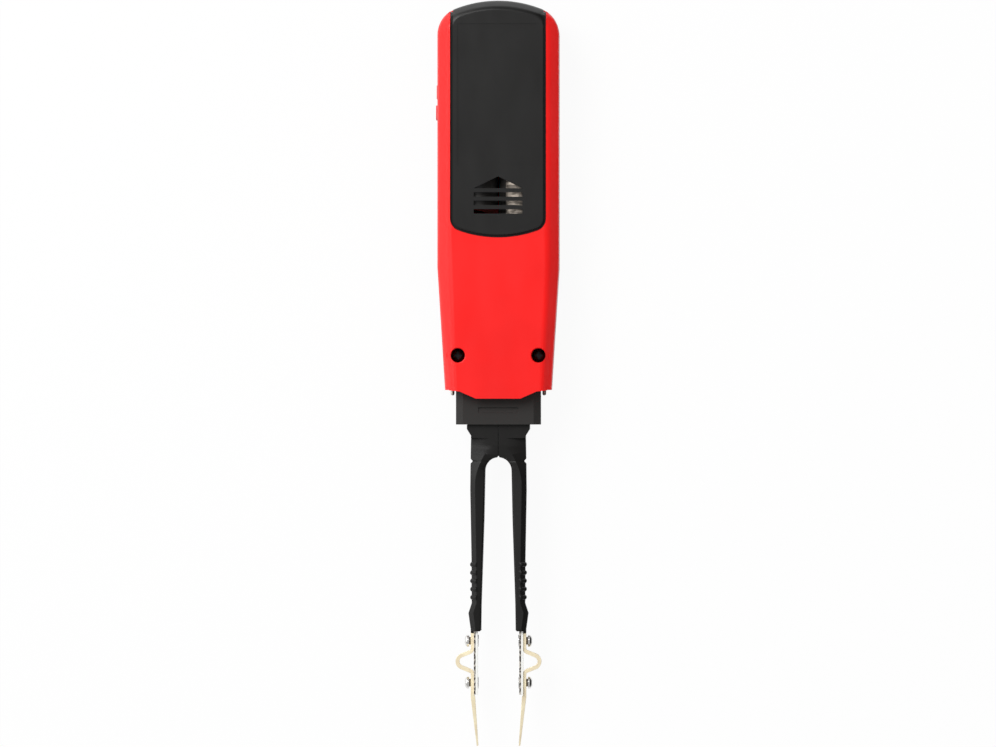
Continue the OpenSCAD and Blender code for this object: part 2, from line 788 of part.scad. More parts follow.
// ---- board and what it carries ----
module circuit_board() {
    hw = case_w / 2 - board_in;
    low = plug_end_w / 2 - board_in;
    color([0.1, 0.35, 0.2]) difference() {
        intersection() {
            plate(case_outline(board_in, board_in, board_in, y_board), board_z, board_top);
            mid_block(case_w, [y_board, y_board + board_l], [board_z, board_top]);
        }
        both_sides() post(board_screw_x, y_case + board_screw_in, 0.95, board_z - 1, board_top + 1);
    }
}

module board_screws() {
    color(steel) both_sides() translate([board_screw_x, y_case + board_screw_in, board_top])
        pan_screw(board_head_d / 2, board_head_h, 0.7, board_top - wall - 0.4);
}

module main_chip() {
    color([0.08, 0.08, 0.08]) translate([-chip_x, y_parts, board_top]) {
        block([-chip_w / 2, chip_w / 2], [-chip_l / 2, chip_l / 2], [chip_foot, chip_h]);
        for (i = [-2:2]) translate([0, i * chip_pitch, 0])
            mid_block(chip_w + 2 * chip_lead, [-chip_foot, chip_foot], [0, chip_h / 3]);
    }
}

// Three small parts beside the socket
module small_parts() {
    color([0.6, 0.52, 0.4]) for (i = [0:2])
        translate([small_x - small_w - i * small_pitch, y_small, board_top])
            cube([small_w, small_l, small_w]);
}

module crystal() {
    color(steel) translate([crystal_l / 2 - small_x, y_small + small_l / 2, board_top])
        linear_extrude(crystal_h) polygon(rounded_box(crystal_l, small_l, small_l * 0.4));
}

module buzzer() {
    color([0.1, 0.1, 0.1]) translate([buzzer_x, y_parts, board_top]) difference() {
        cylinder(d = buzzer_d, h = buzzer_h);
        translate([0, 0, buzzer_h - 1]) cylinder(d = buzzer_hole_d, h = 2);
    }
}

module display_window() {
    color([0.75, 0.8, 0.82]) translate([0, y_display, gap]) linear_extrude(window_t)
        polygon(rounded_box(window_w, window_l, window_corner));
}

module display_frame() {
    color([0.85, 0.85, 0.83]) difference() {
        translate([0, y_display, 0]) mid_block(display_w, [-display_l / 2, display_l / 2], [wall, board_z]);
        // seat of the glass, the view through it and the slot of the elastomer strip
        translate([0, y_display, 0]) {
            mid_block(display_w - 2 * glass_lip, [glass_lip - display_l / 2, display_l / 2 - glass_lip],
                      [glass_z, glass_z + glass_t + slack]);
            mid_block(window_w - 2 * window_lip, [window_lip - window_l / 2, window_l / 2 - window_lip],
                      [0, glass_z + slack]);
        }
        mid_block(strip_slot_w, [strip_slot_y, strip_slot_y + strip_slot_l], [glass_z + slack, board_z + 1]);
    }
}

module display_glass() {
    l = display_l / 2 - glass_lip - slack;
    color([0.6, 0.68, 0.6]) mid_block(display_w - 2 * (glass_lip + slack), [y_display - l, y_display + l],
                                      [glass_z, glass_z + glass_t]);
}

module elastomer_strip() {
    color([0.8, 0.5, 0.6]) translate([0, strip_slot_y, 0])
        mid_block(strip_slot_w - 2 * slack, [slack, strip_slot_l - slack], [glass_z + glass_t, board_z]);
}

// ---- dial ----
module function_dial() {
    r = dial_d / 2;
    color([0.2, 0.2, 0.2]) translate([0, y_dial, 0]) difference() {
        union() {
            translate([0, 0, dial_z + grip_h]) cylinder(r = r, h = dial_top - dial_z - grip_h);
            intersection() {
                mid_block(bar_w, [-r, r], [dial_z, dial_z + grip_h + eps]);
                cylinder(r = r - bar_in, h = case_t);
            }
            translate([0, 0, dial_top - eps]) cylinder(d = hub_d, h = hub_top - dial_top + eps);
            post(0, 0, spigot_r, hub_top - eps, hub_top + rotor_t);
        }
        for (i = [0:flutes - 1]) rotate([0, 0, i * 360 / flutes]) translate([r + flute_r * 0.4, 0, 0])
            cylinder(r = flute_r, h = dial_top + eps, $fn = 16);
        // pointer groove on the grip
        mid_block(pointer_w, [r - pointer_l, r], [0, dial_z + 0.3]);
    }
}

module dial_rotor() {
    color([0.85, 0.85, 0.8]) translate([0, y_dial, 0]) difference() {
        post(0, 0, rotor_r, hub_top, hub_top + rotor_t);
        post(0, 0, spigot_r, hub_top - 1, hub_top + rotor_t + 1);
    }
}

module dial_wipers() {
    color(gold) translate([0, y_dial, hub_top + rotor_t]) for (a = [0, 120, 240]) rotate([0, 0, a])
        block([spigot_r + wiper_in, rotor_r - wiper_in], [-wiper_w / 2, wiper_w / 2], [0, wiper_t]);
}

// ---- side keys ----
module side_key(y, l, out) {
    color(red) translate([0, y, key_z]) {
        rotate([90, 0, -90]) translate([0, 0, flange_x - eps])
            linear_extrude(case_w / 2 + out - flange_x + eps) polygon(rounded_box(l, key_h, key_corner));
        block([-flange_x, -flange_x + key_flange_t], [-l / 2 - key_flange_over, l / 2 + key_flange_over],
              [-key_h / 2 - key_flange_over, key_h / 2 + key_flange_over]);
    }
}

module edge_switch(y) {
    color([0.15, 0.15, 0.15]) difference() {
        block([-switch_x, switch_d - switch_x], [y - switch_w / 2, y + switch_w / 2],
              [board_z - switch_h, board_z]);
        along_x(y, plunger_z, plunger_r + slack, -switch_x - 1, -switch_x + 1.35);
    }
}

module edge_plunger(y) {
    color([0.8, 0.8, 0.75])
        along_x(y, plunger_z, plunger_r, key_flange_t + slack - flange_x, 0.9 - switch_x);
}

module upper_key() { side_key(y_upper_key, upper_key_l, upper_key_out); }
module lower_key() { side_key(y_lower_key, lower_key_l, lower_key_out); }
module upper_switch() { edge_switch(y_upper_key); }
module lower_switch() { edge_switch(y_lower_key); }
module upper_plunger() { edge_plunger(y_upper_key); }
module lower_plunger() { edge_plunger(y_lower_key); }

// ---- socket and plug ----
module socket_block() {
    color([0.2, 0.2, 0.22]) difference() {
        mid_block(socket_w, [y_nose + gap, y_nose + gap + socket_l], [board_top, socket_top]);
        for (x = pin_xs) along_y(x, head_z, sleeve_r, y_nose, y_nose + socket_l + 1);
    }
}

module socket_sleeves() {
    y0 = y_nose + gap;
    color(gold) for (x = pin_xs) difference() {
        union() {
            along_y(x, head_z, sleeve_r, y0, y0 + socket_l);
            block([x - 0.3, x + 0.3], [y0 + socket_l, y0 + socket_l + 0.6], [board_top, head_z + 0.3]);
            along_y(x, head_z, sleeve_r, y0 + socket_l - 0.6, y0 + socket_l + 0.6);
        }
        along_y(x, head_z, pin_d / 2 + slack, y0 - 1, y0 + pin_l + 0.8);
    }
}

// Whole plug housing: a bevelled body and the nose that enters the socket
module plug_form() {
    t = plug_t / 2;
    hw = plug_w / 2;
    c = plug_bevel;
    translate([0, y_case + plug_in, head_z]) rotate([90, 0, 0]) linear_extrude(plug_in + plug_out)
        polygon([[hw, c - t], [hw, t - c], [hw - c, t], [c - hw, t],
                 [-hw, t - c], [-hw, c - t], [c - hw, -t], [hw - c, -t]]);
    mid_block(nose_w, [y_case + plug_in - eps, y_nose], [head_z - nose_t / 2, head_z + nose_t / 2]);
}

// Grip grooves in the plug's back and front faces, deep at the upper edge and running out at the lower one
module grip_groove() {
    y = y_plug + groove_in;
    t = plug_t / 2;
    for (m = [0, 1]) translate([-groove_l / 2, 0, head_z]) mirror([0, 0, m]) rotate([90, 0, 90])
        linear_extrude(groove_l) polygon([[y, t + 1], [y, t - groove_depth], [y - groove_w, t - 2 * slack],
                                          [y - groove_w, t + 1]]);
}

module plug_hollow() {
    // seats of the arm roots, with the lug pockets
    room = [head_z - arm_t / 2 - slack, head_z + arm_t / 2 + slack];
    mid_block(tang_w + 2 * slack, [y_plug - 1, y_plug + tang_l + slack], room);
    mid_block(tang_w + 2 * (lug_out + slack), [y_plug + lug_ys[0] - slack, y_plug + lug_ys[1] + slack],
              room);
    // room for the leads, and the pins' bores
    mid_block(tang_w - 0.6, [y_plug + tang_l, y_nose - pin_root], [head_z - 1.4, head_z + 1.4]);
    for (x = pin_xs) along_y(x, head_z, pin_d / 2 + 0.01, y_nose - pin_root - 1, y_nose + 1);
}

module plug_half(z0, z1) {
    difference() {
        intersection() {
            plug_form();
            mid_block(plug_w + 1, [y_plug - 1, y_nose + 1], [z0, z1]);
        }
        plug_hollow();
        grip_groove();
    }
}

module plug_back() {
    color(black) plug_half(head_z, head_z + plug_t);
}

module plug_front() {
    color(black) plug_half(head_z - plug_t, head_z);
}

module plug_pins() {
    color(gold) for (x = pin_xs) translate([x, y_nose - pin_root, head_z]) rotate([-90, 0, 0])
        rotate_extrude() polygon(concat([[0, 0], [pin_d / 2, 0]],
            arc([0, pin_root + pin_l - pin_d / 2], pin_d / 2, 0, 90, 6)));
}

// Leads from the pins to the neck, two on each side
module plug_leads() {
    y_fan = y_plug + tang_l + 0.3;
    color([0.7, 0.1, 0.1]) both_sides() for (i = [0, 1]) {
        z = head_z + (i * 2 - 1) * lead_dz;
        ends = [[lead_x, y_neck, z], [lead_x, y_fan, z], [pin_xs[2 + i], y_nose - pin_root - slack, head_z]];
        loft([for (p = ends)
            [for (a = [0:36:324]) p + lead_r * [cos(a), 0, sin(a)]]]);
    }
}

// ---- arms ----
module lead_channel(y0, y1) {
    block([lead_x - channel_w / 2, lead_x + channel_w / 2], [y0, y1],
          [head_z - channel_h / 2, head_z + channel_h / 2]);
}

// Outer edge of a root and its arm, in plan, from y down
edge_table = [[y_rim, arms_w / 2 - 0.15], [y_neck, arms_w / 2 - 0.03], [y_crotch - 4.7, arms_w / 2 + 0.05],
              [y_crotch - 12, arms_w / 2 - 0.07], [y_ribs + 1.1, waist_w / 2],
              [y_flare + 2.4, waist_w / 2 - 0.05], [y_flare, flare_w / 2], [y_arm + 0.8, arms_w / 2]];
// Inner edge of an arm below the crotch
inner_table = [[y_crotch, crotch_w / 2], [y_crotch - 12, crotch_w / 2 + 0.24],
               [y_ribs + 1.1, arm_gap / 2 - 0.45], [y_flare + 2.4, arm_gap / 2 - 0.1], [y_arm, arm_gap / 2]];
// Slope of the face between the inner edge and the ridge
slope_table = [[y_rim, 0], [y_neck, rim_slope], [y_crotch - 3.4, arm_slope], [y_arm, arm_slope]];

function edge_x(y) = lookup(y, edge_table);
function ridge_x(y) =
    let (turn = 90 * max(0, min(1, (y_rim - y) / ridge_l)),
         x = ridge_in + (edge_x(y_rim - ridge_l) - facet_run - ridge_in) * sin(turn))
    y > y_rim - ridge_l ? x : edge_x(y) - facet_run;
function inner_x(y) =
    y > y_crotch ? sqrt(pow(crotch_w / 2, 2) - pow(y - y_crotch, 2)) : lookup(y, inner_table);
function arm_thickness(y) = arm_t + (arm_end_t - arm_t) * (y_crotch - min(y, y_crotch)) / (y_crotch - y_arm);

// Section of a root or an arm at height y: an inner face, a ridge and an outer facet on both sides
function arm_ring(y, inner, drop) =
    let (t = arm_thickness(y) / 2, r = ridge_x(y), k = drop / (edge_x(y) - r), b = inner_bevel,
         zi = t - lookup(y, slope_table) * (r - inner), far = t - k * (arms_far - r))
    [for (p = [[inner, b - zi], [inner + b, -zi], [r, -t], [arms_far, -far],
               [arms_far, far], [r, t], [inner + b, zi], [inner, zi - b]]) [p[0], y, head_z + p[1]]];

module arm_root() {
    r = crotch_w / 2;
    seam = 0.02;
    nick_w = 0.3;
    top = y_plug + tang_l;
    side = tang_w / 2;
    lug = [for (y = lug_ys) y_plug + y];
    outline = concat(
        [[seam, top], [side, top], [side, lug[1]], [side + lug_out, lug[1]], [side + lug_out, lug[0]],
         [side, lug[0]], [side, y_plug], [flange_w / 2, y_plug - slack], [flange_w / 2, y_plug - flange_h],
         [edge_x(y_rim), y_plug - flange_h - flange_slope], [edge_x(y_neck + notch_l), y_neck + notch_l],
         [neck_outer, y_neck]],
        arc([0, y_crotch], r, acos(neck_inner / r), acos(nick_w / r), 10),
        [[seam, y_crotch + r + 0.45]]);
    ys = concat([y_rim], [for (i = [1:5]) y_rim + (y_neck - y_rim) * i / 5], [y_neck - 1]);
    difference() {
        intersection() {
            plate(outline, head_z - arm_t, head_z + arm_t);
            loft(concat([arm_ring(top + 1, -1, 0), arm_ring(y_step, -1, 0)],
                        [for (y = concat([y_step - 2 * slack], ys)) arm_ring(y, -1, facet_drop)]));
        }
        lead_channel(y_neck - 1, top + 1);
    }
}

module arm() {
    ys = concat([y_neck + 0.5], [for (i = [0:4]) y_neck + (y_crotch - y_neck) * i / 4],
                [y_crotch - 1.2, y_crotch - 2.4, y_crotch - 3.4, y_crotch - 4.7, y_crotch - 12,
                 y_ribs + 1.1, y_flare + 2.4, y_flare, y_arm + 0.8, y_arm - 0.5]);
    outline = concat(
        [[0.5, y_neck], [neck_outer, y_neck], [edge_x(y_neck - notch_l), y_neck - notch_l]],
        [for (i = [2:len(edge_table) - 1]) [edge_table[i][1], edge_table[i][0]]],
        [[arms_w / 2 - arm_chamfer / 2, y_arm + arm_chamfer], [arms_w / 2 - 1.5 * arm_chamfer, y_arm],
         [arm_gap / 2 + arm_chamfer, y_arm], [arm_gap / 2, y_arm + arm_chamfer], [0.5, y_arm + arm_chamfer]]);
    difference() {
        union() {
            intersection() {
                plate(outline, head_z - arm_t, head_z + arm_t);
                loft([for (y = ys) arm_ring(y, inner_x(y), facet_drop)]);
            }
            for (i = [0:ribs - 1]) rib(y_ribs - i * rib_pitch);
            // stub that covers the end of the strip
            block([strip_x - 0.2, strip_x + strip_t], [y_arm - tab_l, y_arm + 0.5],
                  [head_z - strip_w / 2, head_z + strip_w / 2]);
        }
        lead_channel(y_arm + board_hold, y_neck + 1);
        block([tip_board_gap / 2 - fit, strip_x + fit], [y_arm - 1, y_arm + board_hold + slack],
              [head_z - tip_board_w / 2 - fit, head_z + tip_board_w / 2 + fit]);
    }
}

// One grip rib, wrapped round the outer facets of an arm
module rib(y) {
    t = arm_thickness(y) / 2;
    o = edge_x(y);
    r = ridge_x(y);
    low = t - facet_drop;
    sunk = 0.1;
    side = [[-0.64, -sunk], [-0.42, 0.6 * rib_out], [-0.18, rib_out]];
    loft([for (s = concat(side, [for (i = [2:-1:0]) [-side[i][0], side[i][1]]])) let (h = s[1])
        [for (p = [[r - 1, 4 * sunk - t], [r + h / 2, -t - h], [o + h, -low - h / 3],
                   [o + h, low + h / 3], [r + h / 2, t + h], [r - 1, t - 4 * sunk]])
            [p[0], y - s[0], head_z + p[1]]]]);
}

module left_root() { color(black) on_left() arm_root(); }
module right_root() { color(black) arm_root(); }
module left_arm() { color(black) on_left() arm(); }
module right_arm() { color(black) arm(); }

module arm_leads() {
    color([0.7, 0.1, 0.1]) for (s = [-1, 1])
        along_y(lead_x, head_z + s * lead_dz, lead_r, y_arm + board_hold + 0.1, y_neck);
}

module left_leads() { on_left() arm_leads(); }
module right_leads() { arm_leads(); }

// ---- tips ----
module tip_board() {
    color([0.92, 0.92, 0.9]) difference() {
        block([tip_board_gap / 2, strip_x], [y_board_end, y_arm + board_hold],
              [head_z - tip_board_w / 2, head_z + tip_board_w / 2]);
        for (y = tip_screw_ys) along_x(y, head_z, tip_barrel_r + fit, tip_board_gap / 2 - 1, strip_x + 1);
    }
}

// Centre line of the contact strip from the arm to the point, as [x, y, half its thickness]
function strip_path() =
    let (flat = strip_t / 2, full = bow_t / 2, x0 = strip_x + flat, half = bow_l / 2, turn = bow_angle,
         leg = bow_h * sin(turn) / (1 - cos(turn)) - half,
         foot_r = 0.8, top_r = (half - leg * cos(turn)) / sin(turn) - foot_r,
         foot = arc([x0 + foot_r, y_bow + half], foot_r, 180, 180 + turn, 6),
         top = arc([x0 + bow_h - top_r, y_bow], top_r, turn, -turn, 14))
    concat(
        [[x0, y_arm - tab_l - slack, flat]],
        [for (i = [0:6]) [foot[i][0], foot[i][1], flat + (full - flat) * i / 6]],
        [for (p = top) [p[0], p[1], full]],
        [for (i = [6:-1:0]) [foot[i][0], 2 * y_bow - foot[i][1], flat + (full - flat) * i / 6]],
        [[x0, y_board_end - slack, flat],
         [strip_x + strip_t - point_root_t / 2, y_board_end - point_root_l, point_root_t / 2],
         [(point_gap + point_t) / 2, y_point, point_t / 2]]);

module contact_strip() {
    path = strip_path();
    n = len(path) - 1;
    line = [for (p = path) [p[0], p[1]]];
    normals = [for (i = [0:n]) let (d = line[min(i + 1, n)] - line[max(i - 1, 0)]) [-d[1], d[0]] / norm(d)];
    outline = concat([for (i = [0:n]) line[i] + normals[i] * path[i][2]],
                     [for (i = [n:-1:0]) line[i] - normals[i] * path[i][2]]);
    w = strip_w / 2;
    color(gold) difference() {
        intersection() {
            plate(outline, head_z - w, head_z + w);
            translate([strip_x - 2, 0, head_z]) rotate([90, 0, 90]) linear_extrude(bow_h + 6)
                polygon([[y_arm, -w], [y_board_end, -w], [y_point - 1, -point_w / 2],
                         [y_point - 1, point_w / 2], [y_board_end, w], [y_arm, w]]);
        }
        for (y = tip_screw_ys) along_x(y, head_z, tip_shank_r + fit, strip_x - 1, strip_x + strip_t + 1);
    }
}

module tip_screws() {
    grip = tip_collar_h + strip_t + tip_board_t + tip_nut_h;
    color(steel) for (y = tip_screw_ys) translate([strip_x + strip_t, y, head_z]) rotate([0, 90, 0]) {
        cylinder(r = tip_collar_r, h = tip_collar_h + eps);
        translate([0, 0, tip_collar_h]) pan_screw(tip_head_d / 2, tip_head_h, tip_shank_r, grip);
    }
}

// Nuts pressed into the board: a barrel in its hole and a thin flange on its inner face
module tip_nuts() {
    inner = tip_board_gap / 2;
    color(steel) for (y = tip_screw_ys) difference() {
        union() {
            along_x(y, head_z, tip_nut_r, inner - tip_nut_h, inner);
            along_x(y, head_z, tip_barrel_r, inner - eps, strip_x - eps);
        }
        along_x(y, head_z, tip_shank_r + fit, inner - 1, strip_x + 1);
    }
}

module left_board() { on_left() tip_board(); }
module right_board() { tip_board(); }
module left_tip() { on_left() contact_strip(); }
module right_tip() { contact_strip(); }
module left_screws() { on_left() tip_screws(); }
module right_screws() { tip_screws(); }
module left_nuts() { on_left() tip_nuts(); }
module right_nuts() { tip_nuts(); }

back_shell();
front_shell();
case_screws();
guide_pins();
battery_door();
battery_left();
battery_right();
negative_spring();
positive_plate();
bridge_contact();
circuit_board();
board_screws();
main_chip();
small_parts();
crystal();
buzzer();
display_window();
display_glass();
display_frame();
elastomer_strip();
function_dial();
dial_rotor();
dial_wipers();
upper_key();
lower_key();
upper_switch();
lower_switch();
upper_plunger();
lower_plunger();
socket_block();
socket_sleeves();
plug_back();
plug_front();
plug_pins();
plug_leads();
left_root();
right_root();
left_arm();
right_arm();
left_leads();
right_leads();
left_board();
right_board();
left_tip();
right_tip();
left_screws();
right_screws();
left_nuts();
right_nuts();
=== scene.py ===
"""Looks of the component tester: camera, studio, and the finish of every CAD piece.

Metres, in the CAD frame: the tester lies on its front rim, display side down.
+X is right as seen from the back, +Y runs to the battery end, +Z points out of the back.
"""

import math

import bmesh
import bpy
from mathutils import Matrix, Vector


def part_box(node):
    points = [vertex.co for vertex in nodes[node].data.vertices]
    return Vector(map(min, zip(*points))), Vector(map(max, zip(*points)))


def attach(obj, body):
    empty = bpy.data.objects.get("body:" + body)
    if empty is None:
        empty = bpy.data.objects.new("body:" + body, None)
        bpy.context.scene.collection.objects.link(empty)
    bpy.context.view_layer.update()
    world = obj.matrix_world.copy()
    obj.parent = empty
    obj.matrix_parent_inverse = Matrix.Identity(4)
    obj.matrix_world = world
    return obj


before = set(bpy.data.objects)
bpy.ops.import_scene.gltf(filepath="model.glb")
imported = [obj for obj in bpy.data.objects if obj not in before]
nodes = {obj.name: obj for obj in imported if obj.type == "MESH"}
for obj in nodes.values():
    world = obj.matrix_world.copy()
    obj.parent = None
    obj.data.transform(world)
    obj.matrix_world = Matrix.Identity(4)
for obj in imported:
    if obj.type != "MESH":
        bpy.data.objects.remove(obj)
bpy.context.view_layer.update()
scene = bpy.context.scene
MM = 0.001
EPS = 0.002 * MM            # slack in comparing heights of vertices
SAME = 0.01 * MM            # vertices this close to a plane lie on it

# ---- camera: above the back, leaning very little to the right ----
IMAGE_W = 996               # pixels across the photo
MM_PER_PIXEL = 0.2426       # on the back of the case
LEAN = math.radians(0.8)
DISTANCE = 3.0
SENSOR = 36.0
CLIP_START = 0.01


def make_camera():
    back_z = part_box("back_shell")[1].z
    aim = Vector((0.0, 0.0, back_z))
    data = bpy.data.cameras.new("camera")
    data.sensor_width = SENSOR
    data.lens = SENSOR * DISTANCE / (IMAGE_W * MM_PER_PIXEL * MM)
    data.clip_start = CLIP_START
    camera = bpy.data.objects.new("camera", data)
    scene.collection.objects.link(camera)
    camera.location = aim + DISTANCE * Vector((math.sin(LEAN), 0, math.cos(LEAN)))
    camera.rotation_euler = (0, LEAN, 0)
    scene.camera = camera


# ---- studio ----
DOME_STRENGTH = 0.54
KEY_PLACE, KEY_SIZE, KEY_WATTS = (-0.38, 0.42, 0.82), (0.45, 0.6), 6.8
GLOSS_PLACE, GLOSS_SIZE, GLOSS_WATTS = (-0.5, 0.3, 0.18), (1.0, 0.8), 5.5
GLOSS_AIM = (0, 0, 0.01)    # half-way up the case
CARD_X = 26 * MM            # dark card at the right: its distance, middle, length, height and grey
CARD_Y = 10 * MM
CARD_L = 280 * MM
CARD_H = 80 * MM
CARD_GREY = 0.02
FLOOR_SIZE = 6.0
PAPER_GREY = 0.86
FLOOR_GLOW = 0.94           # share of plain white that the camera, mirrors and glass see in the floor


def area_light(name, place, aim, size, power):
    data = bpy.data.lights.new(name, "AREA")
    data.shape = "RECTANGLE"
    data.size, data.size_y = size
    data.energy = power
    light = bpy.data.objects.new(name, data)
    scene.collection.objects.link(light)
    light.location = place
    light.rotation_euler = (Vector(aim) - Vector(place)).to_track_quat("-Z", "Y").to_euler()
    light.visible_camera = False
    return light


def make_lamps():
    """A large key from the upper left, and a low panel at the left that only gloss shows."""
    area_light("key", KEY_PLACE, (0, 0, 0), KEY_SIZE, KEY_WATTS)
    gloss = area_light("left_gloss", GLOSS_PLACE, GLOSS_AIM, GLOSS_SIZE, GLOSS_WATTS)
    gloss.visible_diffuse = False


def make_card():
    """A dark card at the right that only gloss shows; it takes no light away and casts no shadow."""
    place = (CARD_X, CARD_Y, CARD_H / 2)
    bpy.ops.mesh.primitive_plane_add(size=1.0, location=place, rotation=(0, math.pi / 2, 0))
    card = bpy.context.object
    card.name = "dark_card"
    card.scale = (CARD_H, CARD_L, 1)
    material = bpy.data.materials.new("dark_card")
    material.use_nodes = True
    shader = material.node_tree.nodes["Principled BSDF"]
    shader.inputs["Base Color"].default_value = (CARD_GREY, CARD_GREY, CARD_GREY, 1)
    shader.inputs["Specular IOR Level"].default_value = 0.0
    card.data.materials.append(material)
    card.visible_camera = False
    card.visible_diffuse = False
    card.visible_transmission = False
    card.visible_shadow = False


def make_world():
    """An even grey dome that lights the object; the camera sees it white."""
    world = bpy.data.worlds.new("studio")
    world.use_nodes = True
    tree = world.node_tree
    background = tree.nodes["Background"]
    background.inputs["Color"].default_value = (1, 1, 1, 1)
    path = tree.nodes.new("ShaderNodeLightPath")
    mix = tree.nodes.new("ShaderNodeMix")
    mix.inputs["A"].default_value = DOME_STRENGTH
    mix.inputs["B"].default_value = 1.0
    tree.links.new(path.outputs["Is Camera Ray"], mix.inputs["Factor"])
    tree.links.new(mix.outputs["Result"], background.inputs["Strength"])
    scene.world = world


def make_floor():
    """A pale paper floor. Camera, mirror and glass rays see it near white, with a faint shadow left."""
    bpy.ops.mesh.primitive_plane_add(size=FLOOR_SIZE, location=(0, 0, 0))
    floor = bpy.context.object
    floor.name = "paper_floor"
    material = bpy.data.materials.new("paper")
    material.use_nodes = True
    tree = material.node_tree
    tree.nodes.clear()
    output = tree.nodes.new("ShaderNodeOutputMaterial")
    paper = tree.nodes.new("ShaderNodeBsdfDiffuse")
    paper.inputs["Color"].default_value = (PAPER_GREY, PAPER_GREY, PAPER_GREY, 1)
    glow = tree.nodes.new("ShaderNodeEmission")
    glow.inputs["Color"].default_value = (1, 1, 1, 1)
    mix = tree.nodes.new("ShaderNodeMixShader")
    share = tree.nodes.new("ShaderNodeMath")
    share.operation = "MULTIPLY"
    share.inputs[1].default_value = FLOOR_GLOW
    path = tree.nodes.new("ShaderNodeLightPath")
    seen = path.outputs["Is Camera Ray"]
    for ray in ("Is Glossy Ray", "Is Transmission Ray"):
        either = tree.nodes.new("ShaderNodeMath")
        either.operation = "MAXIMUM"
        tree.links.new(seen, either.inputs[0])
        tree.links.new(path.outputs[ray], either.inputs[1])
        seen = either.outputs[0]
    tree.links.new(seen, share.inputs[0])
    tree.links.new(share.outputs[0], mix.inputs["Fac"])
    tree.links.new(paper.outputs[0], mix.inputs[1])
    tree.links.new(glow.outputs[0], mix.inputs[2])
    tree.links.new(mix.outputs[0], output.inputs["Surface"])
    floor.data.materials.append(material)


# ---- materials: textures use the object's own coordinates; a name with DEPTH is a bump's height ----
# moulded plastic: clouds of colour, flow marks in the gloss, spark-eroded grain
MOULD_CLOUD, MOULD_FLOW, MOULD_GRAIN = 14 * MM, 5 * MM, 0.16 * MM
FLOW_STRETCH = (1, 0.3, 1)
# metal
METAL_CLOUD, METAL_LINE, METAL_DEPTH = 2.5 * MM, 0.12 * MM, 0.0015 * MM
DRAWN_LONG = (1, 0.12, 1)                   # drawing lines that run along Y
# glass
GLASS_SMEAR = 6 * MM
# tip boards: where the dark layer ends and starts, measured from the board's -X face
CORE_FROM, CORE_TO = 0.42 * MM, 0.5 * MM
CUT_FROM, CUT_TO = 0.01 * MM, 0.03 * MM
FIBRE, FIBRE_DEPTH = 0.45 * MM, 0.012 * MM
# tip screws
HEAD_H = 1.1 * MM                           # from the collar to the top of the head
HEAD_EDGE = 0.02 * MM
SCRATCH, SCRATCH_DEPTH = 0.1 * MM, 0.001 * MM
# circuit board
TRACK, MASK_WAVE, MASK_DEPTH = 5 * MM, 1.5 * MM, 0.004 * MM
# cells
WRAP_CLOUD, CREASE, CREASE_DEPTH = 3 * MM, 0.7 * MM, 0.03 * MM
BARE_FROM = 1.85 * MM                       # the right cell's foil is bare from here on, along X
BARE_EDGE = 0.05 * MM


class Finish:
    """A material under construction: a Principled shader and the nodes that feed it."""

    def __init__(self, name, colour, roughness, metallic=0.0, specular=0.5):
        self.material = bpy.data.materials.new(name)
        self.material.use_nodes = True
        self.tree = self.material.node_tree
        self.shader = self.tree.nodes["Principled BSDF"]
        self.shader.inputs["Base Color"].default_value = (*colour, 1)
        self.shader.inputs["Roughness"].default_value = roughness
        self.shader.inputs["Metallic"].default_value = metallic
        self.shader.inputs["Specular IOR Level"].default_value = specular
        self.place = self.tree.nodes.new("ShaderNodeTexCoord").outputs["Object"]

    def node(self, kind, **values):
        made = self.tree.nodes.new(kind)
        for name, value in values.items():
            setattr(made, name, value)
        return made

    def link(self, a, b):
        self.tree.links.new(a, b)

    def noise(self, size, detail=3.0, stretch=(1, 1, 1)):
        """Noise between 0 and 1 whose features are about `size` metres across."""
        mapping = self.node("ShaderNodeMapping")
        mapping.inputs["Scale"].default_value = stretch
        self.link(self.place, mapping.inputs["Vector"])
        noise = self.node("ShaderNodeTexNoise")
        noise.inputs["Scale"].default_value = 1.0 / size
        noise.inputs["Detail"].default_value = detail
        self.link(mapping.outputs["Vector"], noise.inputs["Vector"])
        return noise.outputs["Fac"]

    def spread(self, value, low, high, start=0.3, end=0.7):
        """Maps value from start..end onto low..high."""
        ramp = self.node("ShaderNodeMapRange")
        ramp.inputs["From Min"].default_value = start
        ramp.inputs["From Max"].default_value = end
        ramp.inputs["To Min"].default_value = low
        ramp.inputs["To Max"].default_value = high
        self.link(value, ramp.inputs["Value"])
        return ramp.outputs["Result"]

    def mix(self, factor, a, b):
        """Mixes two colours, each a tuple or a socket."""
        mix = self.node("ShaderNodeMix", data_type="RGBA")
        self.link(factor, mix.inputs["Factor"])
        for value, socket in ((a, mix.inputs[6]), (b, mix.inputs[7])):
            if isinstance(value, bpy.types.NodeSocket):
                self.link(value, socket)
            else:
                socket.default_value = (*value, 1)
        return mix.outputs[2]

    def colour(self, socket):
        self.link(socket, self.shader.inputs["Base Color"])

    def roughness(self, socket):
        self.link(socket, self.shader.inputs["Roughness"])

    def coordinate(self, axis):
        axes = self.node("ShaderNodeSeparateXYZ")
        self.link(self.place, axes.inputs[0])
        return axes.outputs[axis]

    def clouded(self, size, detail, colour, amount):
        """Sets a base colour that drifts from colour by the share amount, either way."""
        clouds = self.spread(self.noise(size, detail), 0, 1)
        self.colour(self.mix(clouds, scaled(colour, 1 - amount), scaled(colour, 1 + amount)))

    def bump(self, height, depth):
        bump = self.node("ShaderNodeBump")
        bump.inputs["Strength"].default_value = 1.0
        bump.inputs["Distance"].default_value = depth
        self.link(height, bump.inputs["Height"])
        self.link(bump.outputs["Normal"], self.shader.inputs["Normal"])


def scaled(colour, factor):
    return tuple(min(1.0, c * factor) for c in colour)


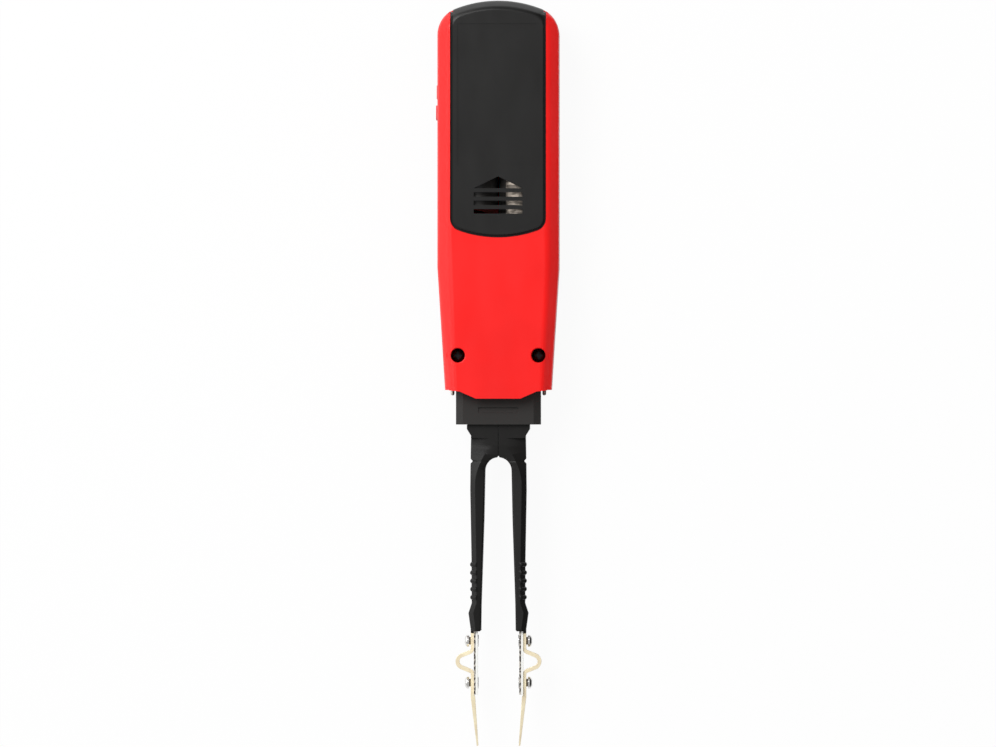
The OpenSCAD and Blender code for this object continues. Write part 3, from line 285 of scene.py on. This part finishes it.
def moulded(name, colour, roughness, depth=0.004 * MM, cloud=0.04, specular=0.4):
    """Moulded plastic: spark-eroded grain, faint clouding of colour and gloss."""
    finish = Finish(name, colour, roughness, specular=specular)
    finish.clouded(MOULD_CLOUD, 2.0, colour, cloud)
    flow = finish.noise(MOULD_FLOW, 3.0, FLOW_STRETCH)
    finish.roughness(finish.spread(flow, roughness - 0.04, roughness + 0.05))
    finish.bump(finish.noise(MOULD_GRAIN, 2.0), depth)
    return finish.material


def metal(name, colour, roughness, brush=(1, 1, 1), cloud=0.06, metallic=1.0):
    """Plated or drawn metal with fine drawing lines along the stretched axis."""
    finish = Finish(name, colour, roughness, metallic=metallic)
    finish.clouded(METAL_CLOUD, 3.0, colour, cloud)
    lines = finish.noise(METAL_LINE, 3.0, brush)
    finish.roughness(finish.spread(lines, roughness * 0.75, roughness * 1.3))
    finish.bump(lines, METAL_DEPTH)
    return finish.material


def glassy(name, colour, roughness, transmission):
    """Clear or tinted sheet with faint smears in its gloss."""
    finish = Finish(name, colour, roughness)
    finish.shader.inputs["Transmission Weight"].default_value = transmission
    finish.shader.inputs["IOR"].default_value = 1.49
    finish.roughness(finish.spread(finish.noise(GLASS_SMEAR), roughness, roughness + 0.06))
    return finish.material


def board_laminate(board):
    """White tip board: smooth white faces, with the dark glass-fibre layer showing in its cut edges."""
    white = (0.92, 0.92, 0.89)
    finish = Finish(board + "_laminate", white, 0.42)
    low_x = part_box(board)[0].x
    x = finish.coordinate("X")
    core = finish.spread(x, 1, 0, low_x + CORE_FROM, low_x + CORE_TO)
    cut = finish.spread(x, 0, 1, low_x + CUT_FROM, low_x + CUT_TO)
    layer = finish.node("ShaderNodeMath", operation="MULTIPLY")
    finish.link(core, layer.inputs[0])
    finish.link(cut, layer.inputs[1])
    fibres = finish.noise(FIBRE, 2.0, (1, 0.7, 1))
    speckle = finish.spread(fibres, 0, 1, 0.46, 0.54)
    dark = finish.mix(speckle, (0.03, 0.022, 0.015), (0.5, 0.46, 0.4))
    finish.colour(finish.mix(layer.outputs[0], white, dark))
    finish.bump(fibres, FIBRE_DEPTH)
    return finish.material


def tip_screw_steel():
    """Nickel-plated screw heads on dark collars: partly the collars' own dark gold, partly painted shade
    under the heads.
    """
    nickel, collar_tone_and_shade = (0.75, 0.74, 0.72), (0.1, 0.07, 0.03)
    finish = Finish("tip_screw_steel", nickel, 0.16, metallic=1.0)
    away = finish.node("ShaderNodeMath", operation="ABSOLUTE")
    finish.link(finish.coordinate("X"), away.inputs[0])
    seat_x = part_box("right_screws")[1].x - HEAD_H
    # below the head's seat the colour is dark: partly the collar's own tone, partly painted shade under the
    # head
    head = finish.spread(away.outputs[0], 0, 1, seat_x, seat_x + HEAD_EDGE)
    finish.colour(finish.mix(head, collar_tone_and_shade, nickel))
    scratches = finish.noise(SCRATCH, 2.0)
    finish.roughness(finish.spread(scratches, 0.12, 0.24))
    finish.bump(scratches, SCRATCH_DEPTH)
    return finish.material


def circuit_green():
    """Solder mask with faint tracks under it."""
    mask = (0.012, 0.13, 0.045)
    finish = Finish("solder_mask", mask, 0.3)
    bricks = finish.node("ShaderNodeTexBrick")
    bricks.inputs["Scale"].default_value = 1 / TRACK
    bricks.inputs["Mortar Size"].default_value = 0.06
    bricks.inputs["Color1"].default_value = (0, 0, 0, 1)
    bricks.inputs["Color2"].default_value = (0, 0, 0, 1)
    bricks.inputs["Mortar"].default_value = (1, 1, 1, 1)
    finish.link(finish.place, bricks.inputs["Vector"])
    finish.colour(finish.mix(bricks.outputs["Color"], mask, (0.03, 0.22, 0.075)))
    finish.bump(finish.noise(MASK_WAVE), MASK_DEPTH)
    return finish.material


def cell_wrap(name, bare_from=None):
    """Dark foil round a cell. From bare_from along X on, the foil is bare metal, creased round the cell;
    the light and dark streaks along its creases are partly uneven foil, partly painted glints and shade of
    the creases.
    """
    wrap, foil = (0.042, 0.039, 0.036), (0.3, 0.26, 0.22)
    finish = Finish(name, wrap, 0.4)
    clouds = finish.spread(finish.noise(WRAP_CLOUD), 0, 1)
    base = finish.mix(clouds, scaled(wrap, 0.8), scaled(wrap, 1.2))
    creases = finish.noise(CREASE, 3.0, (0.22, 1, 0.22))
    if bare_from is None:
        finish.colour(base)
    else:
        bare = finish.spread(finish.coordinate("X"), 0, 1, bare_from, bare_from + BARE_EDGE)
        # light and dark streaks along the creases: partly uneven foil, partly painted glints and shade
        crease_glint_streaks = finish.spread(creases, 0, 1, 0.44, 0.58)
        creased_foil_and_glints = finish.mix(crease_glint_streaks, scaled(foil, 0.42), scaled(foil, 1.6))
        finish.colour(finish.mix(bare, base, creased_foil_and_glints))
        finish.link(finish.spread(bare, 0, 0.75, 0, 1), finish.shader.inputs["Metallic"])
    finish.bump(creases, CREASE_DEPTH)
    return finish.material


def make_finishes():
    red = (0.93, 0.008, 0.007)
    black = (0.0104, 0.01, 0.0096)
    coarse, fine = 0.006 * MM, 0.005 * MM       # depth of the moulded grain
    return {
        "red": moulded("red_moulding", red, 0.32, specular=0.28),
        "black": moulded("black_moulding", scaled(black, 0.9), 0.34, depth=fine, specular=0.24),
        "matt": moulded("black_matt", scaled(black, 1.2), 0.45, depth=coarse, specular=0.14),
        "plug": moulded("plug_moulding", scaled(black, 3.3), 0.45, depth=coarse, specular=0.09),
        "arm": moulded("arm_moulding", scaled(black, 1.15), 0.32, specular=0.17),
        "dial": moulded("dial_moulding", (0.03, 0.03, 0.032), 0.45),
        "pale": moulded("pale_moulding", (0.72, 0.71, 0.67), 0.45),
        "green": circuit_green(),
        "left_laminate": board_laminate("left_board"),
        "right_laminate": board_laminate("right_board"),
        "chip": moulded("chip_moulding", (0.02, 0.02, 0.022), 0.55, depth=0.01 * MM),
        "window": glassy("window_clear", (0.92, 0.95, 0.95), 0.03, 0.95),
        "glass": glassy("display_glass", (0.42, 0.5, 0.43), 0.08, 0.3),
        "rubber": moulded("pink_rubber", (0.55, 0.2, 0.26), 0.65, cloud=0.1),
        "screw": metal("black_screw", (0.03, 0.028, 0.03), 0.35),
        "steel": metal("bright_steel", (0.72, 0.71, 0.7), 0.22),
        "pin": metal("dull_steel", (0.5, 0.46, 0.42), 0.4),
        "tip_screw": tip_screw_steel(),
        "gold": metal("pale_gold", (0.95, 0.8, 0.56), 0.34, DRAWN_LONG, cloud=0.12, metallic=0.35),
        "cell_dark": cell_wrap("cell_wrap_dark"),
        "cell_bare": cell_wrap("cell_wrap_bare", BARE_FROM),
        "lead": moulded("red_lead", (0.5, 0.03, 0.03), 0.4),
    }


# each finish and the nodes that take it
FINISHES = {
    "red": ["back_shell", "upper_key", "lower_key"],
    "black": ["battery_door", "socket_block", "buzzer"],
    "matt": ["front_shell"],
    "plug": ["plug_back", "plug_front"],
    "arm": ["left_root", "right_root", "left_arm", "right_arm"],
    "dial": ["function_dial"],
    "pale": ["dial_rotor", "display_frame", "upper_plunger", "lower_plunger"],
    "green": ["circuit_board"],
    "left_laminate": ["left_board"],
    "right_laminate": ["right_board"],
    "chip": ["main_chip", "upper_switch", "lower_switch", "small_parts"],
    "window": ["display_window"],
    "glass": ["display_glass"],
    "rubber": ["elastomer_strip"],
    "screw": ["case_screws"],
    "pin": ["guide_pins"],
    "tip_screw": ["left_screws", "right_screws"],
    "steel": [
        "board_screws", "crystal", "left_nuts", "right_nuts",
        "negative_spring", "positive_plate", "bridge_contact",
    ],
    "gold": ["left_tip", "right_tip", "plug_pins", "socket_sleeves", "dial_wipers"],
    "cell_dark": ["battery_left"],
    "cell_bare": ["battery_right"],
    "lead": ["plug_leads", "left_leads", "right_leads"],
}


def dress(finishes):
    for finish, names in FINISHES.items():
        for name in names:
            slots = nodes[name].data.materials
            slots.clear()
            slots.append(finishes[finish])


# ---- painted shade: the battery door's flange, carried on down both sides of its end skirt as dark lips that darken the gap there ----
SKIRT_STEP_Z = 13 * MM      # height of the step at the skirt's foot
FLANGE_Z = 18.2 * MM        # height of the flange's underside
PLATE_Z = FLANGE_Z + 0.7 * MM       # above the flange, where only the door's plate is left
LIP_W = 0.6 * MM            # how far the lips stand out from the plate's sides
LIP_L = 4.4 * MM            # from the door's end to their hidden back edge
LIP_BACK = 0.5 * MM         # from the skirt's curve to their own curved edge
LIP_MIN = 0.1 * MM          # least length that a lip has at any height


def lip_profile(door, side_x):
    """The lip's outline as (y, z) corners: its curved edge follows the skirt's side."""
    back_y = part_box("battery_door")[1].y - LIP_L
    reach = {}
    for v in door.vertices:
        on_side = abs(v.co.x - side_x) < SAME and SKIRT_STEP_Z - EPS < v.co.z < FLANGE_Z + EPS
        if on_side and v.co.y > back_y + LIP_BACK + LIP_MIN:
            z = round(v.co.z, 5)
            reach[z] = max(reach.get(z, 0), v.co.y - LIP_BACK)
    curve = [(y, z) for z, y in sorted(reach.items())]
    return [(back_y, SKIRT_STEP_Z), *curve, (back_y, FLANGE_Z)]


def gap_shade_lips(material):
    """Painted shade: closes the door's gap to the shell at the case's end with one dark lip on each side of
    the skirt, so the gap reads dark there.
    """
    door = nodes["battery_door"].data
    side_x = max(v.co.x for v in door.vertices if v.co.z > PLATE_Z)
    profile = lip_profile(door, side_x)
    count = len(profile)
    inner, outer = range(count), range(2 * count - 1, count - 1, -1)
    rim = [[i, i + count, (i + 1) % count + count, (i + 1) % count] for i in range(count)]
    faces = [list(inner), list(outer), *rim]
    for name, sign in (("left_gap_shade_lip", -1), ("right_gap_shade_lip", 1)):
        corners = [(sign * x, y, z) for x in (side_x, side_x + LIP_W) for y, z in profile]
        mesh = bpy.data.meshes.new(name)
        mesh.from_pydata(corners, [], faces)
        lip = bpy.data.objects.new(name, mesh)
        scene.collection.objects.link(lip)
        build = bmesh.new()
        build.from_mesh(mesh)
        bmesh.ops.recalc_face_normals(build, faces=build.faces)
        build.to_mesh(mesh)
        build.free()
        mesh.materials.append(material)
        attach(lip, "door")


# ---- softened edges on the moulded and plated pieces ----
WELD_DISTANCE = 0.0005 * MM
FLAT_ANGLE = math.radians(0.6)
BEVEL_ANGLE = math.radians(32)
SPLIT_ANGLE = math.radians(36)
BEVEL_SEGMENTS = 3
# nodes whose short facets would otherwise hold the rounding back
UNCLAMPED = ["left_arm", "right_arm", "left_root", "right_root"]
# width of the rounding in mm, and the nodes that get it
SOFT_EDGES = {
    0.2: ["back_shell"],
    0.12: ["battery_door", "plug_back", "plug_front", "front_shell"],
    0.08: ["left_arm", "right_arm", "left_root", "right_root", "upper_key", "lower_key"],
    0.05: ["left_tip", "right_tip", "left_board", "right_board"],
}


def soften(name, width):
    """Rounds a node's edges by modifiers; its own vertices stay where the CAD put them."""
    obj = nodes[name]
    for polygon in obj.data.polygons:
        polygon.use_smooth = True
    weld = obj.modifiers.new("weld", "WELD")
    weld.merge_threshold = WELD_DISTANCE
    flat = obj.modifiers.new("flat", "DECIMATE")
    flat.decimate_type = "DISSOLVE"
    flat.angle_limit = FLAT_ANGLE
    bevel = obj.modifiers.new("bevel", "BEVEL")
    bevel.width = width * MM
    bevel.segments = BEVEL_SEGMENTS
    bevel.limit_method = "ANGLE"
    bevel.angle_limit = BEVEL_ANGLE
    bevel.use_clamp_overlap = name not in UNCLAMPED
    split = obj.modifiers.new("split", "EDGE_SPLIT")
    split.split_angle = SPLIT_ANGLE
    split.use_edge_sharp = False
    normals = obj.modifiers.new("normals", "WEIGHTED_NORMAL")
    normals.keep_sharp = True


make_camera()
make_world()
make_lamps()
make_card()
make_floor()
finishes = make_finishes()
dress(finishes)
# the dark lips are painted shade in the door's gap at the case's end
gap_shade_lips(finishes["black"])
for soft_width, soft_names in SOFT_EDGES.items():
    for soft_name in soft_names:
        soften(soft_name, soft_width)

scene.view_settings.view_transform = "Standard"
